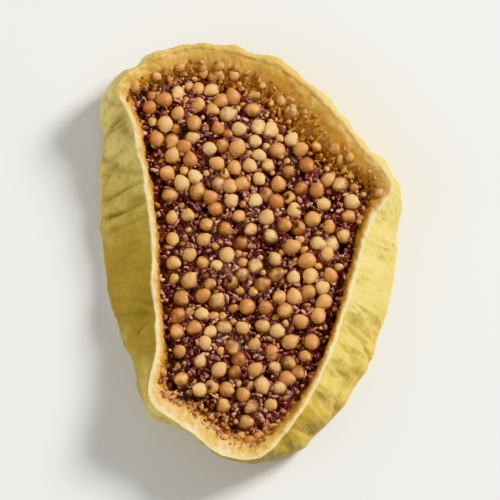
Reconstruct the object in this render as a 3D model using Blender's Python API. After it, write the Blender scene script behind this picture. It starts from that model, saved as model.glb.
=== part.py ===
"""Dried fig slice, cut on both faces: a ring of wrinkled green skin round a pulp full of seeds.

The slice lies on its wider back face. +Z is up, +Y points to the broad end and -Y to the narrow tip.
Lengths below are in millimetres and become metres when the meshes are made.
"""

import math
import random
from typing import NamedTuple

import bmesh
import bpy
import numpy as np
from mathutils import Euler, Matrix, Vector
from mathutils.geometry import delaunay_2d_cdt

MM = 0.001

# Height of the front cut edge above the surface, and how far the drying skin bellies outward
RIM_HEIGHT = 6.6
SKIN_BELLY = 0.6

# The cut edge of the skin: flat but for a slight tilt in front, rounded at the back
EDGE_WIDTH = 0.5
EDGE_TILT = 0.12
EDGE_ROUND = 0.35
BACK_EDGE = 0.8

# The flesh between the edge and the pulp: its width at the back, and how far it bulges half way
BACK_FLESH = 0.9
BACK_FLESH_SHARE = 0.35
FRONT_CROWN = 0.25
BACK_CROWN = 0.1

# How deep the pulp and the flesh beside it have shrunk below the front and back edges
FRONT_SINK = 1.2
BACK_SINK = 1.3
FLESH_DROP = 0.4

# The flesh swells inward at mid height and the pulp has a waist there, as they grew together
WAIST = 0.6

# Stations round the ring
RING_STATIONS = 144

# How far round the ring the flesh's inner outline is evened, as a share of it and in stations
INSET_SHARE = 18
WALL_REACH = 3

# Drying wrinkles that cross the skin from edge to edge
WRINKLE_DEPTH = 0.45
WRINKLE_COUNTS = (17, 26, 37)
WRINKLE_DRIFT = 1.3
WRINKLE_SHIFT = 2.1
EDGE_WAVE = 0.3
EDGE_PHASE = 0.7

# The back edge touches the surface on three flat feet and curls up between them
FOOT_LENGTH = 3.4
FOOT_CURL = 0.55
FOOT_RISE = 7.0
FEET_AT = (0.17, 0.52, 0.78)

# Clearance between the ring and the pulp
GAP = 0.38

# The pulp's cut faces: points round them and across them, and their gentle unevenness
PULP_STATIONS = RING_STATIONS // 2
FACE_STEP = 3.6
PULP_SWELL = 0.35
SWELL_WIDE = 15.0
SWELL_LONG = 20.0
SWELL_SHORT = 8.5
PULP_SHOULDER = 3.0

# Seeds, and how far their centres stand above the cut faces or inside the pulp's wall
SEED_LENGTH = (1.65, 2.1)
FRONT_RAISED = (0.0, 0.32)
BACK_RAISED = (-0.14, 0.0)
SEED_ROOT_SHARE = 0.25
SEED_MARGIN = 0.8
SEED_TRIES = 24
SEED_TAPER = 0.5
SEED_GIRTH = (0.9, 0.82)
FRONT_SEEDS = 150
BACK_SEEDS = 84
SEED_RANDOM = 5


class Station(NamedTuple):
    """A place on the rim: its front edge, the skin's flare to the back edge, the flesh and the curl."""

    x: float
    y: float
    flare: float
    flesh: float
    curl: float


# Counter-clockwise from the blunt corner at the broad end, on the left
RIM = (
    Station(-13.9, 17.0, 1.2, 1.5, 0.8),
    Station(-12.5, 12.4, 3.6, 0.5, 0.3),
    Station(-11.2, 6.2, 5.0, 0.3, -0.1),
    Station(-10.4, 0.4, 5.4, 0.3, -0.3),
    Station(-10.2, -6.0, 4.6, 0.3, -0.2),
    Station(-9.8, -12.2, 2.8, 0.6, 0.0),
    Station(-10.6, -17.6, 0.2, 1.8, 0.6),
    Station(-6.6, -21.0, -1.6, 2.4, 0.3),
    Station(-2.9, -23.7, -1.8, 2.6, 0.3),
    Station(0.9, -24.2, -1.2, 2.3, 0.4),
    Station(4.0, -21.4, 1.4, 1.1, 0.2),
    Station(7.2, -16.4, 3.0, 0.4, 0.0),
    Station(9.6, -10.6, 4.0, 0.3, -0.2),
    Station(11.6, -4.0, 4.0, 0.4, -0.2),
    Station(13.2, 1.6, 3.2, 0.8, 0.0),
    Station(15.6, 5.6, 0.8, 2.0, 0.8),
    Station(12.6, 9.8, 0.2, 3.0, 0.4),
    Station(8.4, 15.0, 0.4, 3.5, 0.1),
    Station(3.8, 18.9, 0.6, 3.3, 0.0),
    Station(-1.8, 20.8, 0.7, 2.8, 0.1),
    Station(-7.4, 21.0, 0.7, 2.4, 0.3),
)


def clear_scene() -> None:
    """Remove every object of the scene that is open."""
    for leftover in list(bpy.data.objects):
        bpy.data.objects.remove(leftover, do_unlink=True)


def new_collection(name: str) -> bpy.types.Collection:
    """Return a new collection, linked to the scene."""
    made = bpy.data.collections.new(name)
    bpy.context.scene.collection.children.link(made)
    return made


def new_material(name: str, colour: tuple[float, float, float], roughness: float) -> bpy.types.Material:
    """Return a material with the Principled shader in one colour."""
    made = bpy.data.materials.new(name)
    made.use_nodes = True
    shader = made.node_tree.nodes["Principled BSDF"]
    shader.inputs["Base Color"].default_value = (*colour, 1.0)
    shader.inputs["Roughness"].default_value = roughness
    shader.inputs["Metallic"].default_value = 0.0
    made.diffuse_color = (*colour, 1.0)
    return made


def closed_spline(points: np.ndarray, count: int, fine: int = 40) -> np.ndarray:
    """Return count rows evenly spaced along a closed smooth curve through the points.

    The curve is a Catmull-Rom spline. Its spacing is measured in the first two columns, and the
    other columns ride along with them.
    """
    before = np.roll(points, 1, axis=0)
    after = np.roll(points, -1, axis=0)
    beyond = np.roll(points, -2, axis=0)
    rows = []
    for index in range(len(points)):
        for step in range(fine):
            t = step / fine
            rows.append(
                0.5 * (
                    2 * points[index]
                    + (after[index] - before[index]) * t
                    + (2 * before[index] - 5 * points[index] + 4 * after[index] - beyond[index]) * t**2
                    + (3 * points[index] - before[index] - 3 * after[index] + beyond[index]) * t**3
                )
            )
    dense = np.array(rows + rows[:1])
    lengths = np.hypot(*np.diff(dense[:, :2], axis=0).T)
    along = np.concatenate([[0.0], np.cumsum(lengths)])
    wanted = np.arange(count) / count * along[-1]
    return np.stack([np.interp(wanted, along, column) for column in dense.T], axis=1)


def outward(points: np.ndarray) -> np.ndarray:
    """Return the outward normal at each point of a closed counter-clockwise outline."""
    ahead = np.roll(points, -2, axis=0) - np.roll(points, 2, axis=0)
    normal = np.stack([ahead[:, 1], -ahead[:, 0]], axis=1)
    return normal / np.linalg.norm(normal, axis=1, keepdims=True)


def evened(rows: np.ndarray, reach: int) -> np.ndarray:
    """Return rows averaged round the ring with their neighbours, up to reach stations each way."""
    weights = [1 + math.cos(math.pi * step / (reach + 1)) for step in range(-reach, reach + 1)]
    total = sum(
        weight * np.roll(rows, step, axis=0)
        for weight, step in zip(weights, range(-reach, reach + 1), strict=True)
    )
    return total / sum(weights)


def wrinkle(around: np.ndarray, phase: float) -> np.ndarray:
    """Return the depth of the drying wrinkles, from -1 to 1, round the ring (0 to 1)."""
    total = np.zeros_like(around)
    for rank, count in enumerate(WRINKLE_COUNTS):
        drift = WRINKLE_DRIFT * np.sin(math.tau * around * (2 + rank) + phase)
        shift = WRINKLE_SHIFT * rank + phase
        total += np.sin(math.tau * around * count + drift + shift) * 2 / (2 + rank)
    return total / len(WRINKLE_COUNTS)


def foot_curl(around: np.ndarray, length: float) -> np.ndarray:
    """Return how high the back edge stands off the surface: nothing at the feet, most between them."""
    lift = np.ones_like(around)
    for foot in FEET_AT:
        away = np.abs((around - foot + 0.5) % 1.0 - 0.5) * length - FOOT_LENGTH / 2
        rise = np.clip(away / FOOT_RISE, 0.0, 1.0)
        lift = np.minimum(lift, rise * rise * (3 - 2 * rise))
    return FOOT_CURL * lift


class RimShape:
    """The ring's sections, worked out from the stations round the rim."""

    def __init__(self, count: int) -> None:
        rows = closed_spline(np.array(RIM), count)
        self.around = np.arange(count) / count
        self.front = rows[:, :2]
        self.normal = outward(self.front)
        self.inset = -evened(self.normal, count // INSET_SHARE)
        self.flare = rows[:, 2:3]
        self.flesh = rows[:, 3:4]
        self.length = float(np.hypot(*np.diff(self.front, axis=0, append=self.front[:1]).T).sum())
        self.top = RIM_HEIGHT + rows[:, 4] + EDGE_WAVE * wrinkle(self.around, EDGE_PHASE)
        self.bottom = foot_curl(self.around, self.length)
        self.back = self.front + self.normal * self.flare

    def point(self, plan: np.ndarray, height: np.ndarray) -> np.ndarray:
        """Join a plan outline and a height into 3-D points."""
        return np.column_stack([plan, height])

    def skin(self, t: float) -> np.ndarray:
        """Return the skin's outer line at t, from 0 at the back edge to 1 at the front edge."""
        belly = SKIN_BELLY * 4 * t * (1 - t)
        fold = WRINKLE_DEPTH * (0.35 + 0.65 * math.sin(math.pi * t)) * wrinkle(self.around, 0.5 * t)
        plan = self.back + (self.front - self.back) * t + self.normal * (belly + fold[:, None])
        low = self.bottom + EDGE_ROUND
        return self.point(plan, low + (self.top - low) * t)

    def front_wall(self) -> np.ndarray:
        """Return the line where the front flesh meets the pulp."""
        plan = evened(self.front + self.inset * (EDGE_WIDTH + self.flesh), WALL_REACH)
        return self.point(plan, evened(self.top, WALL_REACH) - FRONT_SINK - FLESH_DROP)

    def back_wall(self) -> np.ndarray:
        """Return the line where the back flesh meets the pulp."""
        width = EDGE_ROUND + BACK_EDGE + BACK_FLESH + BACK_FLESH_SHARE * self.flesh
        plan = evened(self.back + self.inset * width, WALL_REACH)
        return self.point(plan, self.bottom + BACK_SINK + FLESH_DROP)

    def waist(self) -> np.ndarray:
        """Return the line where the flesh swells inward, half way between its front and back walls."""
        middle = 0.5 * (self.front_wall() + self.back_wall())
        middle[:, :2] += evened(self.inset, WALL_REACH) * WAIST
        return middle

    def sections(self) -> list[np.ndarray]:
        """Return the closed section's points as lines round the ring, outer side first and upward."""
        front_wall = self.front_wall()
        back_wall = self.back_wall()
        front_edge = self.point(self.front - self.normal * EDGE_WIDTH, self.top - EDGE_TILT)
        back_rim = self.point(self.back - self.normal * EDGE_ROUND, self.bottom)
        back_edge = self.point(self.back - self.normal * (EDGE_ROUND + BACK_EDGE), self.bottom)
        front_mid = 0.5 * (front_edge + front_wall)
        front_mid[:, 2] += FRONT_CROWN
        back_mid = 0.5 * (back_edge + back_wall)
        back_mid[:, 2] -= BACK_CROWN
        return [
            self.skin(0.0),
            self.skin(0.14),
            self.skin(0.38),
            self.skin(0.64),
            self.skin(0.88),
            self.skin(1.0),
            front_edge,
            front_mid,
            front_wall,
            self.waist(),
            back_wall,
            back_mid,
            back_edge,
            back_rim,
        ]


def mesh_object(
    name: str, vertices: np.ndarray, faces: list[tuple[int, ...]], home: bpy.types.Collection
) -> bpy.types.Object:
    """Return an object made of vertices in millimetres and faces, linked to its collection."""
    mesh = bpy.data.meshes.new(name)
    mesh.from_pydata([tuple(vertex * MM) for vertex in vertices], [], faces)
    mesh.validate()
    made = bpy.data.objects.new(name, mesh)
    home.objects.link(made)
    return made


def build_peel(shape: RimShape, home: bpy.types.Collection) -> bpy.types.Object:
    """Loft the ring of skin and flesh round the rim."""
    lines = shape.sections()
    count = len(shape.around)
    faces = []
    for row in range(len(lines)):
        above = (row + 1) % len(lines)
        for column in range(count):
            beside = (column + 1) % count
            low_left, low_right = row * count + column, row * count + beside
            high_left, high_right = above * count + column, above * count + beside
            faces.append((low_left, low_right, high_right, high_left))
    return mesh_object("peel", np.concatenate(lines), faces, home)


def inside_by(outline: np.ndarray, x: float, y: float) -> float:
    """Return how far a point in plan lies inside a closed outline, negative outside it."""
    start = outline
    step = np.roll(outline, -1, axis=0) - outline
    spot = np.array([x, y])
    along = np.clip(((spot - start) * step).sum(axis=1) / (step**2).sum(axis=1), 0.0, 1.0)
    distance = float(np.hypot(*(start + step * along[:, None] - spot).T).min())
    rise = np.where(step[:, 1] == 0, 1e-9, step[:, 1])
    spans = (start[:, 1] > y) != (start[:, 1] + step[:, 1] > y)
    crossed = spans & (x < start[:, 0] + step[:, 0] * (y - start[:, 1]) / rise)
    return distance if crossed.sum() % 2 else -distance


def triangle_grid(low: np.ndarray, high: np.ndarray, step: float) -> list[tuple[float, float]]:
    """Return the points of a triangular grid over a rectangle in plan."""
    rows = np.arange(low[1], high[1], step * math.sqrt(0.75))
    return [
        (float(x), float(y))
        for rank, y in enumerate(rows)
        for x in np.arange(low[0] + (rank % 2) * step / 2, high[0], step)
    ]


class CutFace:
    """One cut face of the pulp: an uneven surface inside the outline where it meets the flesh."""

    def __init__(self, outline: np.ndarray, root_outline: np.ndarray, level: float, unevenness: float) -> None:
        self.outline = outline
        self.root_outline = root_outline
        self.level = level
        self.unevenness = unevenness

    def room(self, x: float, y: float) -> float:
        """Return a point's distance to the pulp's wall, at the surface and at the depth of a seed's root."""
        return min(inside_by(line, x, y) for line in (self.outline[:, :2], self.root_outline))

    def height(self, x: float, y: float) -> float:
        """Return the height of the surface under a point in plan, joined smoothly to the outline's."""
        distances = np.hypot(*(self.outline[:, :2] - (x, y)).T)
        edge = float(self.outline[distances.argmin(), 2])
        blend = min(max(inside_by(self.outline[:, :2], x, y), 0.0) / PULP_SHOULDER, 1.0)
        wide = math.sin(math.tau * x / SWELL_WIDE) * math.cos(math.tau * y / SWELL_LONG)
        short = math.sin(math.tau * (y + x / 2) / SWELL_SHORT)
        return edge + (self.level + self.unevenness * (wide + short) / 2 - edge) * blend

    def mesh(self) -> tuple[np.ndarray, list[list[int]]]:
        """Return the surface's points, the outline's first, and its triangles, seen anticlockwise from +Z."""
        low, high = self.outline[:, :2].min(axis=0), self.outline[:, :2].max(axis=0)
        inner = [
            (x, y, self.height(x, y))
            for x, y in triangle_grid(low, high, FACE_STEP)
            if inside_by(self.outline[:, :2], x, y) > FACE_STEP / 2
        ]
        points = np.concatenate([self.outline, np.array(inner)])
        count = len(self.outline)
        loop = [(index, (index + 1) % count) for index in range(count)]
        plan = [Vector(point[:2]) for point in points]
        triangles = delaunay_2d_cdt(plan, loop, [], 1, 1e-6)[2]
        return points, triangles


class PulpShape:
    """The pulp's plug: its wall, a little clear of the ring's, and its two cut faces."""

    def __init__(self, ring: RimShape) -> None:
        walls = [ring.front_wall(), ring.waist(), ring.back_wall()]
        run = np.hypot(*(walls[2] - walls[0])[:, :2].T)
        slant = np.hypot(1.0, run / (walls[0] - walls[2])[:, 2])[:, None]
        for line in walls:
            line[:, :2] -= outward(line[:, :2]) * GAP * slant
        front, self.waist, back = (line[:: RING_STATIONS // PULP_STATIONS] for line in walls)
        root = (back - front)[:, :2] * SEED_ROOT_SHARE
        self.front = CutFace(front, front[:, :2] + root, RIM_HEIGHT - FRONT_SINK, PULP_SWELL)
        self.back = CutFace(back, back[:, :2] - root, BACK_SINK, PULP_SWELL / 2)


def build_pulp_body(shape: PulpShape, home: bpy.types.Collection) -> bpy.types.Object:
    """Make the pulp's plug: two uneven cut faces and the wall between them."""
    front_points, front_triangles = shape.front.mesh()
    back_points, back_triangles = shape.back.mesh()
    first_front = len(back_points)
    first_waist = first_front + len(front_points)
    faces = [tuple(reversed(triangle)) for triangle in back_triangles]
    faces += [tuple(first_front + corner for corner in triangle) for triangle in front_triangles]
    for here in range(PULP_STATIONS):
        beside = (here + 1) % PULP_STATIONS
        faces.append((here, beside, first_waist + beside, first_waist + here))
        faces.append((first_waist + here, first_waist + beside, first_front + beside, first_front + here))
    return mesh_object("pulp", np.concatenate([back_points, front_points, shape.waist]), faces, home)


def seed_places(face: CutFace, wanted: int, draw: random.Random) -> list[tuple[float, float]]:
    """Return scattered places on a cut face, each the one of a few tries that is furthest from the rest."""
    low, high = face.outline[:, :2].min(axis=0), face.outline[:, :2].max(axis=0)
    places: list[tuple[float, float]] = []
    while len(places) < wanted:
        tries: list[tuple[float, float]] = []
        while len(tries) < SEED_TRIES:
            spot = draw.uniform(low[0], high[0]), draw.uniform(low[1], high[1])
            if face.room(*spot) > SEED_MARGIN:
                tries.append(spot)
        taken = places or [tries[0]]
        places.append(max(tries, key=lambda spot: min(math.dist(spot, other) for other in taken)))
    return places


def add_seed(place: Vector, draw: random.Random, home: bpy.types.Collection) -> bpy.types.Object:
    """Add one seed: a faceted egg of twenty sides, turned any way, pointed a little at one end."""
    bpy.ops.mesh.primitive_ico_sphere_add(subdivisions=1, radius=0.5)
    seed = bpy.context.object
    seed.name = "seed"
    for vertex in seed.data.vertices:
        taper = 1.0 - SEED_TAPER * max(vertex.co.z, 0.0)
        vertex.co.x *= taper
        vertex.co.y *= taper
    length = draw.uniform(*SEED_LENGTH) * MM
    turn = Euler((draw.uniform(0.5, 1.4), draw.uniform(-0.5, 0.5), draw.uniform(0.0, math.tau)))
    size = Matrix.Diagonal((length * SEED_GIRTH[0], length * SEED_GIRTH[1], length, 1.0))
    seed.data.transform(Matrix.Translation(place) @ turn.to_matrix().to_4x4() @ size)
    for owner in list(seed.users_collection):
        owner.objects.unlink(seed)
    home.objects.link(seed)
    return seed


def fuse_seeds(pulp: bpy.types.Object, seeds: bpy.types.Collection) -> None:
    """Join the seeds to the pulp by one Boolean union, apply it and remove the seeds."""
    union = pulp.modifiers.new("seeds", "BOOLEAN")
    union.operation = "UNION"
    union.operand_type = "COLLECTION"
    union.collection = seeds
    union.solver = "MANIFOLD"
    union.material_mode = "TRANSFER"
    evaluated = pulp.evaluated_get(bpy.context.evaluated_depsgraph_get())
    fused = bpy.data.meshes.new_from_object(evaluated)
    pulp.modifiers.clear()
    pulp.data = fused
    for seed in list(seeds.objects):
        bpy.data.objects.remove(seed, do_unlink=True)
    bpy.data.collections.remove(seeds)


def drop_scraps(solid: bpy.types.Object) -> None:
    """Keep the largest connected body of the mesh and delete loose scraps."""
    shape = bmesh.new()
    shape.from_mesh(solid.data)
    unseen = set(shape.verts)
    bodies = []
    while unseen:
        body, edge = set(), [unseen.pop()]
        while edge:
            vertex = edge.pop()
            body.add(vertex)
            beside = {link.other_vert(vertex) for link in vertex.link_edges} & unseen
            unseen -= beside
            edge.extend(beside)
        bodies.append(body)
    bodies.sort(key=len)
    for body in bodies[:-1]:
        bmesh.ops.delete(shape, geom=list(body), context="VERTS")
    shape.to_mesh(solid.data)
    shape.free()


def build_pulp(ring: RimShape, home: bpy.types.Collection) -> bpy.types.Object:
    """Make the pulp with the seeds that stand out of both its cut faces."""
    shape = PulpShape(ring)
    pulp = build_pulp_body(shape, home)
    pulp.data.materials.append(new_material("pulp_brown", (0.075, 0.022, 0.014), 0.35))
    gold = new_material("seed_gold", (0.62, 0.33, 0.12), 0.4)
    draw = random.Random(SEED_RANDOM)
    seeds = new_collection("seeds")
    for face, wanted, raised in (
        (shape.front, FRONT_SEEDS, FRONT_RAISED),
        (shape.back, BACK_SEEDS, BACK_RAISED),
    ):
        for x, y in seed_places(face, wanted, draw):
            place = Vector((x, y, face.height(x, y) + draw.uniform(*raised))) * MM
            add_seed(place, draw, seeds).data.materials.append(gold)
    fuse_seeds(pulp, seeds)
    drop_scraps(pulp)
    return pulp


def centre_on_origin(widest: bpy.types.Object, others: list[bpy.types.Object]) -> None:
    """Move the meshes so that the origin lies under the middle of the widest one's box."""
    corners = np.array([corner[:] for corner in widest.bound_box])
    middle = (corners.min(axis=0) + corners.max(axis=0)) / 2
    for solid in (widest, *others):
        solid.data.transform(Matrix.Translation((-middle[0], -middle[1], 0.0)))


def main() -> None:
    """Build the slice."""
    clear_scene()
    slice_parts = new_collection("dried_fig_slice")
    ring = RimShape(RING_STATIONS)
    peel = build_peel(ring, slice_parts)
    peel.data.materials.append(new_material("skin_green", (0.42, 0.34, 0.07), 0.6))
    peel.data.shade_smooth()
    pulp = build_pulp(ring, slice_parts)
    centre_on_origin(peel, [pulp])


main()
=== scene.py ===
"""Looks of a dried fig slice: leathery green skin, amber flesh, and dark pulp full of golden seeds.

The solids give the place and the main form. Each of them is replaced here by finer pieces that keep that
form: the ring of skin and flesh, the pulp with its crumbs and florets, and every seed where the solids
have it, with smaller half-buried seeds between them. Lengths are in millimetres until a mesh is made.
"""

import logging
import math
import random
from dataclasses import dataclass, field
from enum import Enum
from typing import NamedTuple

import bpy
import numpy as np
from mathutils import Euler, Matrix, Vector, noise


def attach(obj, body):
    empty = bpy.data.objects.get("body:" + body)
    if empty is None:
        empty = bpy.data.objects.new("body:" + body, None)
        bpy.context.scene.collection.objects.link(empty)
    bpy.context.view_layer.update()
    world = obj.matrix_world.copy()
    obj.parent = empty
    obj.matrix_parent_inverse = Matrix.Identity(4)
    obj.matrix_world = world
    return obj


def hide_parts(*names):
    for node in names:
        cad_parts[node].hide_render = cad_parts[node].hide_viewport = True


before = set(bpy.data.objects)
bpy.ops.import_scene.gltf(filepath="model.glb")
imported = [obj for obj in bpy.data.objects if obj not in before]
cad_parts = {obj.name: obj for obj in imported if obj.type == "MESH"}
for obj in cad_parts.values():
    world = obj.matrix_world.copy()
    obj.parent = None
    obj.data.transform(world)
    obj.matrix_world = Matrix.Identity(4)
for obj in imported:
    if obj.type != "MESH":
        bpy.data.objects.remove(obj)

MM = 0.001
BODY = "root"
# Half of a seed's width, as a share of its length
SEED_HALF_WIDTH = 0.43
log = logging.getLogger("fig_slice")


class Side(Enum):
    """The two cut faces of the slice."""

    FRONT = "front"
    BACK = "back"


class Station(NamedTuple):
    """A place on the rim: its front edge, the skin's flare, the flesh's width, the curl and three colours.

    amber is how dark the flesh has dried, with painted shade added on the left side; pale is how light
    the cut edge is; and the last is how dark the skin is, partly its own darker colour and partly painted
    shade on the lower left and round the narrow tip; all from 0 to 1.
    """

    x: float
    y: float
    flare: float
    flesh: float
    curl: float
    amber: float
    pale: float
    olive_and_shade: float


# Counter-clockwise from the blunt corner at the broad end, on the left
# The last column darkens the skin partly as painted shade on the lower left and round the narrow tip, and the
# amber column is raised on the left side as painted shade
RIM = (
    Station(-13.9, 17.0, 1.2, 1.5, 0.8, 0.35, 0.3, 0.2),
    Station(-12.5, 12.4, 3.6, 0.5, 0.3, 0.45, 0.7, 0.1),
    Station(-11.2, 6.2, 5.0, 0.3, -0.1, 0.55, 0.8, 0.25),
    Station(-10.4, 0.4, 5.4, 0.3, -0.3, 0.6, 0.9, 0.5),
    Station(-10.2, -6.0, 4.6, 0.3, -0.2, 0.55, 0.9, 0.75),
    Station(-9.8, -12.2, 2.8, 0.6, 0.0, 0.4, 0.9, 0.6),
    Station(-10.6, -17.6, 0.2, 1.8, 0.6, 0.1, 1.0, 0.3),
    Station(-6.6, -21.0, -1.6, 2.4, 0.3, 0.1, 1.0, 0.3),
    Station(-2.9, -23.7, -1.8, 2.6, 0.3, 0.2, 0.9, 0.5),
    Station(0.9, -24.2, -1.2, 2.3, 0.4, 0.3, 0.7, 0.8),
    Station(4.0, -21.4, 1.4, 1.1, 0.2, 0.4, 0.6, 0.75),
    Station(7.2, -16.4, 3.0, 0.4, 0.0, 0.5, 0.7, 0.45),
    Station(9.6, -10.6, 4.0, 0.3, -0.2, 0.6, 0.9, 0.3),
    Station(11.6, -4.0, 4.0, 0.4, -0.2, 0.6, 0.9, 0.15),
    Station(13.2, 1.6, 3.2, 0.8, 0.0, 0.6, 0.9, 0.1),
    Station(15.6, 5.6, 0.8, 2.0, 0.8, 0.55, 0.6, 0.2),
    Station(12.6, 9.8, 0.2, 3.0, 0.4, 0.8, 0.35, 0.3),
    Station(8.4, 15.0, 0.4, 3.5, 0.1, 1.0, 0.3, 0.3),
    Station(3.8, 18.9, 0.6, 3.3, 0.0, 0.8, 0.15, 0.5),
    Station(-1.8, 20.8, 0.7, 2.8, 0.1, 0.5, 0.1, 0.5),
    Station(-7.4, 21.0, 0.7, 2.4, 0.3, 0.35, 0.15, 0.4),
)


def linear(colour: str) -> tuple[float, float, float, float]:
    """Turn an sRGB hex colour into linear values for a shader.

    Args:
        colour: the colour as "#RRGGBB".

    Returns:
        Linear red, green and blue, and an alpha of one.
    """
    parts = [int(colour[place : place + 2], 16) / 255 for place in (1, 3, 5)]
    red, green, blue = (
        part / 12.92 if part <= 0.04045 else ((part + 0.055) / 1.055) ** 2.4 for part in parts
    )
    return red, green, blue, 1.0


class Coat(NamedTuple):
    """A coat of colour that covers what lies under it where a pattern goes from low to high."""

    pattern: bpy.types.NodeSocket
    low: float
    high: float
    colour: str | bpy.types.NodeSocket
    strength: float = 1.0


class Paint:
    """A material in the making."""

    def __init__(self, title: str) -> None:
        """Start a material.

        Args:
            title: the material's name.
        """
        self.material = bpy.data.materials.new(title)
        self.material.use_nodes = True
        self.tree = self.material.node_tree
        self.shader = self.tree.nodes["Principled BSDF"]
        self.place = self.add("ShaderNodeTexCoord").outputs["Object"]

    def add(
        self, kind: str, inputs: dict[str | int, object] | None = None, **settings: object
    ) -> bpy.types.Node:
        """Add a node with its settings, its values and its links.

        Args:
            kind: the node's type, such as ShaderNodeTexNoise.
            inputs: for each input, by name or number, the socket that feeds it or its value.
            settings: the node's own properties.

        Returns:
            The new node.
        """
        node = self.tree.nodes.new(kind)
        for name, value in settings.items():
            setattr(node, name, value)
        for name, feed in (inputs or {}).items():
            if isinstance(feed, bpy.types.NodeSocket):
                self.tree.links.new(feed, node.inputs[name])
            else:
                node.inputs[name].default_value = feed
        return node

    def read(self, *titles: str) -> list[bpy.types.NodeSocket]:
        """Return the sockets of the mesh's attributes with these titles."""
        return [self.add("ShaderNodeAttribute", attribute_name=title).outputs["Fac"] for title in titles]

    def cloud(self, size: float, detail: float = 3.0, roughness: float = 0.6) -> bpy.types.NodeSocket:
        """Return a cloudy pattern whose lumps have a size in millimetres."""
        scale = 1 / (size * MM)
        inputs = {"Vector": self.place, "Scale": scale, "Detail": detail, "Roughness": roughness}
        return self.add("ShaderNodeTexNoise", inputs).outputs["Fac"]

    def mottled(
        self, value: bpy.types.NodeSocket, pattern: bpy.types.NodeSocket, depth: float
    ) -> bpy.types.NodeSocket:
        """Return a value that a cloudy pattern makes uneven, by half the depth up and down."""
        uneven = self.add("ShaderNodeMath", {0: pattern, 1: depth, 2: -depth / 2}, operation="MULTIPLY_ADD")
        return self.add("ShaderNodeMath", {0: value, 1: uneven.outputs[0]}, operation="ADD").outputs[0]

    def lay(self, base: str | bpy.types.NodeSocket, *coats: Coat) -> bpy.types.NodeSocket:
        """Lay coats of colour over a base colour.

        Args:
            base: the colour under them all.
            coats: the coats, the lowest first.

        Returns:
            The socket of the colour that is seen.
        """
        seen = linear(base) if isinstance(base, str) else base
        for coat in coats:
            tint = linear(coat.colour) if isinstance(coat.colour, str) else coat.colour
            reach = {"From Min": coat.low, "From Max": coat.high, "To Max": coat.strength}
            cover = self.add("ShaderNodeMapRange", {"Value": coat.pattern, **reach}).outputs["Result"]
            # The sockets of a colour Mix node share their names with its number sockets, so they go by place
            mixed = self.add("ShaderNodeMix", {0: cover, 6: seen, 7: tint}, data_type="RGBA")
            seen = mixed.outputs[2]
        return seen

    def finish(
        self,
        colour: bpy.types.NodeSocket,
        gloss: tuple[bpy.types.NodeSocket, float, float],
        grain: tuple[bpy.types.NodeSocket, float, float],
        glow: tuple[float, float, tuple[float, float, float]],
    ) -> bpy.types.Material:
        """Give the material its colour, gloss, grain and glow.

        Args:
            colour: the colour that is seen.
            gloss: a pattern, and the roughness where it is low and where it is high.
            grain: a pattern, how strongly it shows and how many millimetres deep it is.
            glow: the share of light that goes in, how many millimetres deep, and how far each colour goes.

        Returns:
            The finished material.
        """
        pattern, low, high = gloss
        spread = {"Value": pattern, "From Min": 0.3, "From Max": 0.7, "To Min": low, "To Max": high}
        rough = self.add("ShaderNodeMapRange", spread).outputs["Result"]
        pattern, strength, depth = grain
        bump = self.add("ShaderNodeBump", {"Height": pattern, "Strength": strength, "Distance": depth * MM})
        for name, feed in (("Base Color", colour), ("Roughness", rough), ("Normal", bump.outputs["Normal"])):
            self.tree.links.new(feed, self.shader.inputs[name])
        self.shader.inputs["Subsurface Weight"].default_value = glow[0]
        self.shader.inputs["Subsurface Scale"].default_value = glow[1] * MM
        self.shader.inputs["Subsurface Radius"].default_value = glow[2]
        return self.material


def spline_at(rows: np.ndarray, places: np.ndarray) -> np.ndarray:
    """Read a closed Catmull-Rom spline at fractional indices.

    Args:
        rows: the points that the spline passes through.
        places: where to read it, counted in points from the first.

    Returns:
        One row for each place.
    """
    index = np.floor(places).astype(int)
    t = (places - index)[:, None]
    before, here, after, beyond = (rows[(index + step) % len(rows)] for step in (-1, 0, 1, 2))
    square = 2 * before - 5 * here + 4 * after - beyond
    cube = 3 * here - before - 3 * after + beyond
    return 0.5 * (2 * here + (after - before) * t + square * t**2 + cube * t**3)


def closed_spline(points: np.ndarray, count: int, fine: int = 40) -> np.ndarray:
    """Space rows evenly along a closed smooth curve, measured in its first two columns.

    Args:
        points: the points that the curve passes through.
        count: how many rows to return.
        fine: how many steps measure the length between two points.

    Returns:
        The evenly spaced rows.
    """
    dense = spline_at(points, np.arange(len(points) * fine + 1) / fine)
    lengths = np.hypot(*np.diff(dense[:, :2], axis=0).T)
    along = np.concatenate([[0.0], np.cumsum(lengths)])
    wanted = np.arange(count) / count * along[-1]
    return np.stack([np.interp(wanted, along, column) for column in dense.T], axis=1)


def outward(points: np.ndarray) -> np.ndarray:
    """Return the outward normal at each point of a closed counter-clockwise outline."""
    ahead = np.roll(points, -2, axis=0) - np.roll(points, 2, axis=0)
    normal = np.stack([ahead[:, 1], -ahead[:, 0]], axis=1)
    return normal / np.linalg.norm(normal, axis=1, keepdims=True)


def evened(rows: np.ndarray, reach: int) -> np.ndarray:
    """Return rows averaged round the ring with their neighbours, up to reach stations each way."""
    steps = range(-reach, reach + 1)
    weights = [1 + math.cos(math.pi * step / (reach + 1)) for step in steps]
    total = sum(weight * np.roll(rows, step, axis=0) for weight, step in zip(weights, steps, strict=True))
    return total / sum(weights)


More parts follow.
